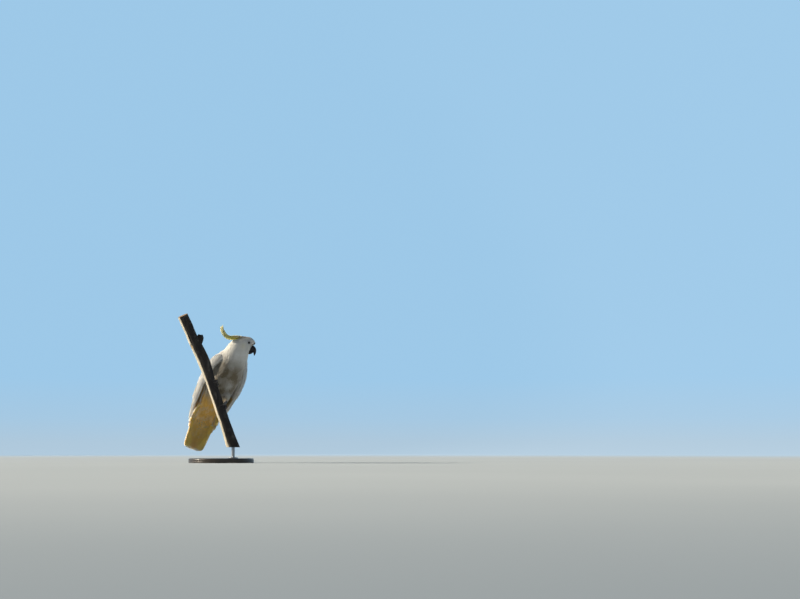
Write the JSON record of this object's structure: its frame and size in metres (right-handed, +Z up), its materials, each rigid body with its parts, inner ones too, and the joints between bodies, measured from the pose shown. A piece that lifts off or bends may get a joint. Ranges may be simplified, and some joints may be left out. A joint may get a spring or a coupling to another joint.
{
  "type": "sulphur-crested cockatoo",
  "caption": "Life-size white parrot with a curled yellow crest, gripping a leaning cut length of branch on a round display stand.",
  "frame": {"origin": "middle of the round stand's underside", "axes": "+Z up; the bird's belly faces -Y, its left side is towards +X, and its head is turned towards +X"},
  "size_m": [0.3112, 0.2724, 0.588],
  "materials": {
    "body_plumage": "soft matt plumage",
    "wing_plumage": "matt plumage",
    "tail_plumage": "matt plumage, washed yellow beneath",
    "crest_plumage": "matt plumage",
    "bill": "smooth horn, low sheen",
    "eye": "polished dark",
    "foot_skin": "scaly, matt",
    "claw": "smooth horn",
    "bark": "rough bark with paler worn patches",
    "stand_wood": "dark satin",
    "stand_metal": "satin"
  },
  "bodies": {
    "root": {"head": "body_plumage", "neck": "body_plumage", "torso": "body_plumage", "upper_bill": "bill", "lower_bill": "bill", "eye_left": "eye", "eye_right": "eye", "crest": "crest_plumage", "wing_left": "wing_plumage", "wing_right": "wing_plumage", "tail": "tail_plumage", "thigh_left": "body_plumage", "foot_left": "foot_skin", "claw_left_1": "claw", "claw_left_2": "claw", "claw_left_3": "claw", "claw_left_4": "claw", "thigh_right": "body_plumage", "foot_right": "foot_skin", "claw_right_1": "claw", "claw_right_2": "claw", "claw_right_3": "claw", "claw_right_4": "claw", "perch": "bark", "stand_base": "stand_wood", "stand_rod": "stand_metal"}
  },
  "joints": []
}
